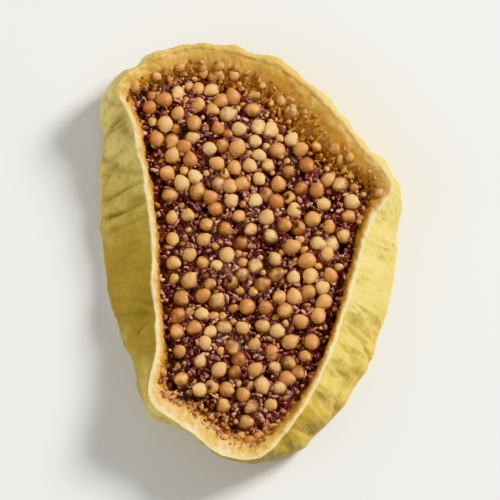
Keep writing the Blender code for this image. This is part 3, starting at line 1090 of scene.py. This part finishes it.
@dataclass
class Seeds:
    """The seeds of one cut face: smooth eggs with a blunt beak, some of them pierced."""

    plan: PulpPlan
    side: Side
    middle: np.ndarray
    sides: int = 20
    rings: int = 13
    taper: float = 0.3
    beak: float = 0.05
    girth: tuple[float, float] = (0.92, 0.85)
    dent: float = 0.07
    hole_reach: float = 0.17
    hole_depth: float = 0.22
    small_length: tuple[float, float] = (1.0, 1.5)
    small_wanted: int = 75
    small_overlap: float = 0.85
    small_sink: float = 0.35
    egg: tuple[np.ndarray, list[tuple[int, ...]]] = field(init=False)

    def __post_init__(self) -> None:
        """Make the ball that every seed is shaped from."""
        self.egg = ball(self.sides, self.rings)

    def shape(self, spot: SeedSpot, up: float) -> tuple[np.ndarray, np.ndarray, np.ndarray]:
        """Shape one seed.

        Args:
            spot: the seed.
            up: 1 on the front face and -1 on the back one.

        Returns:
            Its points, how dark each of them is towards the seed's underside, partly syrup and partly
            painted shade, and how deep in a hole it is.
        """
        points, _ = self.egg
        points = points.copy()
        offset = np.array(spot.centre)
        lumps = smooth_noise(points * 3.4 + offset * 7.0, 1.0, 2)
        points *= 1 + self.dent * lumps[:, None]
        taper = 1 - self.taper * np.maximum(points[:, 2], 0.0)
        points[:, :2] *= taper[:, None]
        points[:, 2] += self.beak * np.maximum(points[:, 2] * 2, 0.0) ** 6
        hole = np.zeros(len(points))
        points = points * (spot.length * self.girth[0], spot.length * self.girth[1], spot.length)
        placed = turned(points, spot.turn, (0.0, 0.0, 0.0))
        if spot.pierced:
            lean = np.array([0.25 * math.cos(spot.tone * 9), 0.25 * math.sin(spot.tone * 9), 0.45 * up])
            mark = lean / np.linalg.norm(lean) * spot.length * 0.45
            away = np.linalg.norm(placed - mark, axis=1) / spot.length
            hole = np.exp(-((away / self.hole_reach) ** 2))
            placed -= np.outer(hole, mark / np.linalg.norm(mark)) * self.hole_depth * spot.length
        # Darker towards each seed's underside: partly syrup staining and partly painted shade; soil adds each
        # seed's own darkening
        low = np.clip(0.55 - up * placed[:, 2] / (1.3 * spot.radius()) + spot.soil, 0.0, 1.4)
        return placed + spot.centre, low, np.clip(hole * 1.3 - 0.1, 0.0, 1.0)

    def small_spots(self) -> list[SeedSpot]:
        """Fit small half-buried seeds into the gaps between the others."""
        face = self.plan.faces[self.side]
        draw = random.Random(31 if self.side is Side.FRONT else 37)
        taken = [(spot.centre[0], spot.centre[1], spot.radius()) for spot in self.plan.seeds[self.side]]
        low, high = face.outline[:, :2].min(axis=0), face.outline[:, :2].max(axis=0)
        sink = self.small_sink if self.side is Side.FRONT else -self.small_sink
        spots: list[SeedSpot] = []
        for _ in range(self.small_wanted * 60):
            if len(spots) == self.small_wanted:
                break
            x, y = draw.uniform(low[0], high[0]), draw.uniform(low[1], high[1])
            length = draw.uniform(*self.small_length)
            radius = SEED_HALF_WIDTH * length
            if face.room(np.array([[x, y]]))[0] < radius:
                continue
            if any(math.hypot(x - a, y - b) < (radius + r) * self.small_overlap for a, b, r in taken):
                continue
            taken.append((x, y, radius))
            turn = (draw.uniform(0.3, 1.5), draw.uniform(-0.6, 0.6), draw.uniform(0.0, math.tau))
            centre = (x, y, face.solid_height(x, y) - sink * draw.random())
            spots.append(SeedSpot(centre, length, turn, 0.7 * draw.random(), 0.3, False))
        return spots

    def build(self, finish: bpy.types.Material) -> list[SeedSpot]:
        """Build the seeds of this face.

        Args:
            finish: the seeds' material.

        Returns:
            Every seed of the face, for what is fitted between them.
        """
        up = 1.0 if self.side is Side.FRONT else -1.0
        small = self.small_spots()
        for title, spots in (("seeds", self.plan.seeds[self.side]), ("small_seeds", small)):
            heap = Heap()
            for spot in spots:
                points, stain, hole = self.shape(spot, up)
                heap.add(points, self.egg[1], tone=spot.tone, stain=stain, pierced=hole)
            piece = make_piece(f"{title}_{self.side.value}", heap.data(self.middle), [finish])
            if title == "seeds":
                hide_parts("pulp")
        return [*self.plan.seeds[self.side], *small]


@dataclass
class PulpBody:
    """The pulp itself: two crumbly cut faces with a socket round every seed, and the wall between them."""

    rim: Rim
    plan: PulpPlan
    seeds: dict[Side, list[SeedSpot]]
    cells: int = 204
    tuck: float = 0.24
    lump_size: float = 2.3
    lump_depth: float = 0.25
    crumb_size: float = 0.62
    crumb_depth: float = 0.24
    collar_width: float = 0.24
    collar_height: float = 0.42
    pit_depth: float = 0.6

    def plan_points(self, outline: np.ndarray) -> np.ndarray:
        """Fit an even square grid to a closed outline in plan.

        Args:
            outline: the outline's points in plan, evenly spaced.

        Returns:
            The grid's points, as rows by columns.
        """
        centre = outline.mean(axis=0)
        steps = np.linspace(-1.0, 1.0, self.cells + 1)
        across, along = np.meshgrid(steps, steps)
        reach = np.maximum(np.abs(across), np.abs(along))
        safe = np.where(reach == 0, 1.0, reach)
        a, b = across / safe, along / safe
        # Places on the square's edge, counter-clockwise from its lower left corner, four sides long
        place = np.where(b <= -1, (a + 1) / 2, 0.0)
        place = np.where((a >= 1) & (b > -1), 1 + (b + 1) / 2, place)
        place = np.where((b >= 1) & (a < 1), 2 + (1 - a) / 2, place)
        place = np.where((a <= -1) & (b < 1) & (b > -1), 3 + (1 - b) / 2, place)
        edge = spline_at(outline, place.ravel() / 4 * len(outline)).reshape(*place.shape, 2)
        return centre + (edge - centre) * reach[:, :, None]

    def relief(self, side: Side, points: np.ndarray, base: np.ndarray) -> tuple[np.ndarray, np.ndarray]:
        """Work out the crumbs, pits and seed sockets of a cut face.

        Args:
            side: the face.
            points: the points in plan.
            base: the face's own height at each of them.

        Returns:
            How far each point stands out of the face, and its value for colour, from -1 to 1, lowered
            in pits and round each seed as painted shade and highest on crumbs, partly painted highlight.
        """
        where = np.column_stack([points, base])
        lumps = smooth_noise(where, self.lump_size, 2)
        crumbs = 1 - 2.5 * np.abs(smooth_noise(where + 40.0, self.crumb_size, 2))
        pits = np.clip(smooth_noise(where - 25.0, 1.1) * 3 - 0.7, 0.0, 1.0)
        rise = self.lump_depth * lumps + self.crumb_depth * crumbs - self.pit_depth * pits
        collar = np.zeros(len(points))
        for spot in self.seeds[side]:
            away = np.hypot(*(points - spot.centre[:2]).T)
            near = away < spot.radius() + 4 * self.collar_width
            ring = np.exp(-(((away[near] - spot.radius()) / self.collar_width) ** 2))
            collar[near] = np.maximum(collar[near], ring)
        uneven = np.clip(0.5 + 1.1 * smooth_noise(where + 80.0, 1.3), 0.0, 1.2)
        rise += self.collar_height * collar * uneven
        # Lowered in the pits and round each seed's collar as painted shade; the highest crumbs take the
        # lightest colour, partly painted highlight
        colour = np.clip(0.5 * lumps + 0.45 * crumbs - 1.2 * pits - 0.25 * collar, -1.0, 1.0)
        return rise, colour

    def face(self, side: Side) -> tuple[np.ndarray, np.ndarray, np.ndarray]:
        """Return one cut face: its grid of points, its values for colour with painted shade in pits and round
        seeds, and its closeness to the flesh.
        """
        face = self.plan.faces[side]
        wall = self.rim.front_wall() if side is Side.FRONT else self.rim.back_wall()
        outline = wall[:, :2] + outward(wall[:, :2]) * self.tuck
        grid = self.plan_points(outline)
        flat = grid.reshape(-1, 2)
        base = face.heights(flat)
        rise, colour = self.relief(side, flat, base)
        inside = inside_by(outline, flat)
        rise *= np.clip(inside / 0.8, 0.0, 1.0)
        up = 1.0 if side is Side.FRONT else -1.0
        solid = np.column_stack([flat, base + up * rise])
        near = np.clip(1 - inside / 2.4, 0.0, 1.0) * self.rim.tint_beside(flat, wall)
        return solid.reshape(*grid.shape[:2], 3), colour, near

    def mesh(self) -> MeshData:
        """Return the pulp's closed mesh."""
        front, front_colour, front_near = self.face(Side.FRONT)
        back, back_colour, back_near = self.face(Side.BACK)
        size = self.cells + 1
        cell = np.arange(size * size).reshape(size, size)
        quads = np.stack([cell[:-1, :-1], cell[:-1, 1:], cell[1:, 1:], cell[1:, :-1]], axis=2).reshape(-1, 4)
        border = np.concatenate([cell[0, :-1], cell[:-1, -1], cell[-1, :0:-1], cell[:0:-1, 0]])
        offset = size * size
        places = np.arange(len(border)) / len(border) * self.rim.form.stations
        waist = spline_at(self.rim.waist(), places)
        waist[:, :2] -= outward(waist[:, :2]) * 0.05
        low, middle, high = border + offset, np.arange(len(border)) + 2 * offset, border
        walls = [
            np.stack([under, np.roll(under, -1), np.roll(over, -1), over], axis=1)
            for under, over in ((low, middle), (middle, high))
        ]
        points = np.concatenate([front.reshape(-1, 3), back.reshape(-1, 3), waist])
        flat = np.zeros(len(waist))
        return MeshData(
            points=points - self.rim.middle,
            faces=np.concatenate([quads, quads[:, ::-1] + offset, *walls]).tolist(),
            values={
                "rise": np.concatenate([front_colour, back_colour, flat]),
                "near_flesh": np.concatenate([front_near, back_near, flat + 0.6]),
            },
        )

    def build(self) -> bpy.types.Object:
        """Build the pulp and put it in the place of its solid."""
        body = make_piece("pulp_body", self.mesh(), [SyrupPulp().material()])
        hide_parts("pulp")
        return body


@dataclass
class Florets:
    """The dried florets and crumbs that fill the gaps between the seeds of one cut face."""

    rim: Rim
    plan: PulpPlan
    side: Side
    seeds: list[SeedSpot]
    flaps: int = 420
    crumbs: int = 1250
    flap_length: tuple[float, float] = (0.6, 1.2)
    flap_width: tuple[float, float] = (0.15, 0.3)
    crumb_width: tuple[float, float] = (0.3, 0.75)
    headings: int = 7
    overhang: float = 0.5
    flap_sides: int = 7
    flap_rings: int = 8

    def places(self, wanted: int, clear: float, draw: random.Random) -> np.ndarray:
        """Scatter points over the face that lie between its seeds.

        Args:
            wanted: how many points to return at most.
            clear: how much of a seed's radius they keep off its centre.
            draw: the source of chance.

        Returns:
            The points in plan.
        """
        face = self.plan.faces[self.side]
        low, high = face.outline[:, :2].min(axis=0), face.outline[:, :2].max(axis=0)
        tries = np.array(
            [(draw.uniform(low[0], high[0]), draw.uniform(low[1], high[1])) for _ in range(wanted * 4)]
        )
        tries = tries[inside_by(face.outline[:, :2], tries) > -self.overhang]
        for spot in self.seeds:
            away = np.hypot(*(tries - spot.centre[:2]).T)
            tries = tries[away > spot.radius() * clear]
        return tries[:wanted]

    def nearness(self, spots: np.ndarray) -> np.ndarray:
        """Return how much the flesh beside them colours spots in plan, from 0 to 1."""
        wall = self.rim.front_wall() if self.side is Side.FRONT else self.rim.back_wall()
        inside = inside_by(self.plan.faces[self.side].outline[:, :2], spots)
        return np.clip(1 - inside / 2.4, 0.0, 1.0) * self.rim.tint_beside(spots, wall)

    def heading(self, spot: tuple[float, float], reach: float, draw: random.Random) -> float:
        """Return the heading, of a few tries, in which a floret keeps clearest of the seeds."""
        tries = [draw.uniform(0.0, math.tau) for _ in range(self.headings)]
        centres = np.array([seed.centre[:2] for seed in self.seeds])
        radii = np.array([seed.radius() for seed in self.seeds])

        def room(turn: float) -> float:
            """Return how far the floret's end stays clear of the nearest seed."""
            ahead = np.array(spot) + np.array([math.sin(turn), -math.cos(turn)]) * reach
            return float((np.hypot(*(centres - ahead).T) - radii).min())

        return max(tries, key=room)

    def flap(self, draw: random.Random) -> tuple[np.ndarray, list[tuple[int, ...]]]:
        """Return one floret lobe, lying along +Z from the origin: a flat curled strip with round ends."""
        length, width = draw.uniform(*self.flap_length), draw.uniform(*self.flap_width)
        flat, bend, twist = draw.uniform(0.3, 0.9), draw.uniform(-1.1, 1.1), draw.uniform(-1.5, 1.5)
        points, faces = ball(self.flap_sides, self.flap_rings)
        along = points[:, 2] + 0.5
        girth = np.where(along < 0.5, 0.7 + 0.6 * along, 1.0)
        x, y = points[:, 0] * width * 2 * girth, points[:, 1] * width * 2 * girth * flat
        turn = twist * along
        wavy = 0.12 * width * np.sin(along * 17 + draw.uniform(0, 6))
        across, over = x * np.cos(turn) - y * np.sin(turn), x * np.sin(turn) + y * np.cos(turn)
        shaped = np.column_stack([across, over, along * length])
        shaped[:, 0] += bend * length * 0.35 * along**2 + wavy
        return shaped, faces

    def build(self, finish: bpy.types.Material) -> bpy.types.Object:
        """Build the florets and crumbs of this face."""
        face = self.plan.faces[self.side]
        up = 1.0 if self.side is Side.FRONT else -1.0
        draw = random.Random(53 if self.side is Side.FRONT else 59)
        heap = Heap()
        spots = self.places(self.flaps, 0.95, draw)
        for (x, y), height, near in zip(spots, face.heights(spots), self.nearness(spots), strict=True):
            points, faces = self.flap(draw)
            lean = draw.uniform(0.9, 1.5) if draw.random() < 0.75 else draw.uniform(0.2, 0.8)
            turn = (lean, 0.0, self.heading((x, y), float(np.abs(points).max()), draw))
            centre = (x, y, height + up * draw.uniform(0.0, 0.35))
            placed = turned(points, turn, (0.0, 0.0, 0.0)) * (1.0, 1.0, up) + centre
            order = faces if up > 0 else [corners[::-1] for corners in faces]
            heap.add(placed, order, tone=draw.random(), near_flesh=near)
        lump, lump_faces = ball(8, 6)
        spots = self.places(self.crumbs, 0.85, draw)
        for (x, y), height, near in zip(spots, face.heights(spots), self.nearness(spots), strict=True):
            width = draw.uniform(*self.crumb_width)
            stretch = np.array([1.0, draw.uniform(0.6, 1.0), draw.uniform(0.5, 0.9)])
            rough = lump * (1 + 0.35 * smooth_noise(lump * 2.2 + (x, y, width * 9), 1.0))[:, None]
            turn = (draw.uniform(-0.6, 0.6), draw.uniform(-0.6, 0.6), draw.uniform(0.0, math.tau))
            centre = (x, y, height + up * draw.uniform(0.0, 0.35))
            placed = turned(rough * stretch * width, turn, centre)
            heap.add(placed, lump_faces, tone=draw.random() ** 0.8, near_flesh=near)
        return make_piece(f"florets_{self.side.value}", heap.data(self.rim.middle), [finish])


@dataclass
class FleshFringe:
    """Where the front flesh turns into pulp: strands, crumbs and small seeds that the flesh holds."""

    rim: Rim
    plan: PulpPlan
    strands: int = 46
    crumbs: int = 380
    seeds: int = 40
    sides: int = 8
    steps: int = 14
    thickness: tuple[float, float] = (0.12, 0.24)
    into_pulp: tuple[float, float] = (0.2, 1.5)
    crumb_width: tuple[float, float] = (0.4, 0.95)
    seed_length: tuple[float, float] = (1.0, 1.6)

    def station(self, draw: random.Random) -> int:
        """Return a station of the rim, more often one where the flesh is wide."""
        weights = np.clip(self.rim.flesh[:, 0] - 0.4, 0.02, None).tolist()
        return draw.choices(range(len(weights)), weights=weights)[0]

    def strand(self, place: float, draw: random.Random) -> tuple[np.ndarray, np.ndarray]:
        """Return a strand's middle line and its thickness, from the flesh into the pulp.

        Args:
            place: where it starts, in stations round the rim.
            draw: the source of chance.

        Returns:
            The points of its middle line, and its radius at each.
        """
        start = draw.uniform(0.3, 0.7)
        reach = draw.uniform(*self.into_pulp)
        shares = np.linspace(start, 1.0, self.steps // 2)
        spot = np.array([place])
        on_flesh = np.concatenate([spline_at(self.rim.front_flesh(share), spot) for share in shares])
        inward = spline_at(evened(self.rim.inset, self.rim.form.wall_reach), spot)[0]
        rest = self.steps - self.steps // 2
        run = on_flesh[-1, :2] + np.outer(np.arange(1, rest + 1) / rest * reach, inward)
        face = self.plan.faces[Side.FRONT]
        on_pulp = np.column_stack([run, face.heights(run)])
        line = np.concatenate([on_flesh, on_pulp])
        sway = smooth_noise(line + place, 0.9) * 0.35
        line[:, :2] += np.outer(sway, (-inward[1], inward[0]))
        line[:, 2] += 0.02 + 0.12 * smooth_noise(line + 31.0, 0.8)
        line[-1, 2] -= 0.25
        line[0, 2] -= 0.2
        shape = np.sin(np.linspace(0.25, math.pi - 0.35, self.steps)) ** 0.6
        return line, shape * draw.uniform(*self.thickness)

    def add_strand(self, heap: Heap, draw: random.Random) -> None:
        """Add one strand to a heap."""
        station = self.station(draw)
        line, radii = self.strand(station + draw.random(), draw)
        ahead = np.gradient(line, axis=0)
        ahead /= np.linalg.norm(ahead, axis=1, keepdims=True)
        side = np.cross(ahead, (0.0, 0.0, 1.0))
        side /= np.linalg.norm(side, axis=1, keepdims=True)
        over = np.cross(side, ahead) * 0.6
        turns = np.arange(self.sides) / self.sides * math.tau
        cosine, sine = np.cos(turns), np.sin(turns)
        rings = [
            line[step] + radii[step] * (np.outer(cosine, side[step]) + np.outer(sine, over[step]))
            for step in range(self.steps)
        ]
        faces: list[tuple[int, ...]] = []
        for step in range(self.steps - 1):
            for turn in range(self.sides):
                beside = (turn + 1) % self.sides
                low, high = step * self.sides, (step + 1) * self.sides
                faces.append((low + turn, high + turn, high + beside, low + beside))
        faces.append(tuple(range(self.sides)))
        faces.append(tuple(reversed(range((self.steps - 1) * self.sides, self.steps * self.sides))))
        ripe_and_shade = 0.3 + 0.6 * self.rim.amber[station, 0]
        heap.add(np.concatenate(rings), faces, tone=0.3 + 0.6 * draw.random(), near_flesh=ripe_and_shade)

    def spot(self, low: float, lift: float, draw: random.Random) -> tuple[np.ndarray, float]:
        """Return a place on the flesh near the pulp, lifted a little, and how amber it is there."""
        station = self.station(draw)
        share = 1.02 - (1.02 - low) * draw.random() ** 1.6
        place = spline_at(self.rim.front_flesh(share), np.array([station + draw.random()]))[0]
        return place + (0.0, 0.0, lift), 0.35 + 0.65 * float(self.rim.amber[station, 0])

    def build(
        self, strand: bpy.types.Material, tissue: bpy.types.Material, shell: bpy.types.Material
    ) -> None:
        """Build the fringe.

        Args:
            strand: the strands' material.
            tissue: the crumbs' material.
            shell: the seeds' material.
        """
        draw = random.Random(71)
        heap = Heap()
        for _ in range(self.strands):
            self.add_strand(heap, draw)
        make_piece("flesh_strands", heap.data(self.rim.middle), [strand])
        heap = Heap()
        lump, faces = ball(8, 6)
        for _ in range(self.crumbs):
            place, ripe_and_shade = self.spot(0.4, draw.uniform(-0.08, 0.04), draw)
            stretch = np.array([1.0, draw.uniform(0.5, 0.9), draw.uniform(0.35, 0.6)])
            rough = lump * (1 + 0.5 * smooth_noise(lump * 2.2 + place * 3, 1.0))[:, None]
            turn = (draw.uniform(-0.6, 0.6), draw.uniform(-0.6, 0.6), draw.uniform(0.0, math.tau))
            points = turned(rough * stretch * draw.uniform(*self.crumb_width), turn, tuple(place))
            heap.add(points, faces, tone=0.2 + 0.8 * draw.random(), near_flesh=ripe_and_shade)
        make_piece("fringe_crumbs", heap.data(self.rim.middle), [tissue])
        heap = Heap()
        bed = Seeds(self.plan, Side.FRONT, self.rim.middle)
        for _ in range(self.seeds):
            place, _ = self.spot(0.45, draw.uniform(-0.25, 0.05), draw)
            turn = (draw.uniform(0.3, 1.5), draw.uniform(-0.6, 0.6), draw.uniform(0.0, math.tau))
            tone = 0.6 * draw.random()
            length = draw.uniform(*self.seed_length)
            spot = SeedSpot(tuple(place), length, turn, tone, 0.15 + 0.3 * tone, False)
            points, stain, hole = bed.shape(spot, 1.0)
            heap.add(points, bed.egg[1], tone=spot.tone, stain=stain, pierced=hole)
        make_piece("fringe_seeds", heap.data(self.rim.middle), [shell])


@dataclass
class Studio:
    """A pale floor, soft lights and the camera."""

    elevation: float = 78.0
    distance: float = 0.66
    lens: float = 440.0
    aim: tuple[float, float, float] = (0.0, 0.0004, 0.003)
    floor_size: float = 4.0
    floor_colour: str = "#EFEEEB"
    sky: float = 0.36
    lights: tuple[tuple[str, tuple[float, float, float], float, float], ...] = (
        ("key", (0.35, 0.22, 0.3), 0.17, 3.1),
        ("fill", (-0.42, -0.12, 0.3), 0.4, 0.9),
    )

    def build_floor(self) -> None:
        """Lay the pale floor."""
        bpy.ops.mesh.primitive_plane_add(size=self.floor_size)
        floor = bpy.context.object
        floor.name = "studio_floor"
        paint = bpy.data.materials.new("pale_studio_paper")
        paint.use_nodes = True
        tree = paint.node_tree
        shader = tree.nodes["Principled BSDF"]
        shader.inputs["Base Color"].default_value = linear(self.floor_colour)
        shader.inputs["Roughness"].default_value = 0.75
        floor.data.materials.append(paint)

    def build_lights(self) -> None:
        """Hang the soft lights and set the sky's even light."""
        for name, place, size, power in self.lights:
            lamp = bpy.data.lights.new(name, "AREA")
            lamp.size = size
            lamp.energy = power
            holder = bpy.data.objects.new(name, lamp)
            holder.location = place
            holder.rotation_euler = (Vector(self.aim) - Vector(place)).to_track_quat("-Z", "Y").to_euler()
            bpy.context.scene.collection.objects.link(holder)
        world = bpy.data.worlds.new("soft_sky")
        world.use_nodes = True
        world.node_tree.nodes["Background"].inputs["Color"].default_value = linear("#FFFFFF")
        world.node_tree.nodes["Background"].inputs["Strength"].default_value = self.sky
        bpy.context.scene.world = world

    def build_camera(self) -> None:
        """Stand the camera in front of the narrow tip, looking down on the cut face."""
        lens = bpy.data.cameras.new("camera")
        lens.lens = self.lens
        lens.clip_start = 0.01
        camera = bpy.data.objects.new("camera", lens)
        tilt = math.radians(self.elevation)
        away = Vector((0.0, -math.cos(tilt), math.sin(tilt))) * self.distance
        camera.location = Vector(self.aim) + away
        camera.rotation_euler = (-away).to_track_quat("-Z", "Y").to_euler()
        bpy.context.scene.collection.objects.link(camera)
        bpy.context.scene.camera = camera

    def build(self) -> None:
        """Set the stage."""
        self.build_floor()
        self.build_lights()
        self.build_camera()
        bpy.context.scene.view_settings.view_transform = "Khronos PBR Neutral"


def main() -> None:
    """Build every piece of the slice and its stage."""
    logging.basicConfig(level=logging.INFO, format="%(name)s: %(message)s")
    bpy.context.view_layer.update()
    rim = Rim(RimForm())
    plan = PulpPlan(rim, PulpForm())
    PeelRing(rim).build()
    shell = SeedShell().material()
    seeds = {side: Seeds(plan, side, rim.middle).build(shell) for side in Side}
    PulpBody(rim, plan, seeds).build()
    tissue = DriedTissue().material()
    for side in Side:
        Florets(rim, plan, side, seeds[side]).build(tissue)
    strands = DriedTissue("flesh_strand", "#DDB468", "#C08C40", "#986024", "#A4681F", "#D2A558").material()
    FleshFringe(rim, plan).build(strands, tissue, shell)
    Studio().build()


if __name__ == "__main__":
    main()
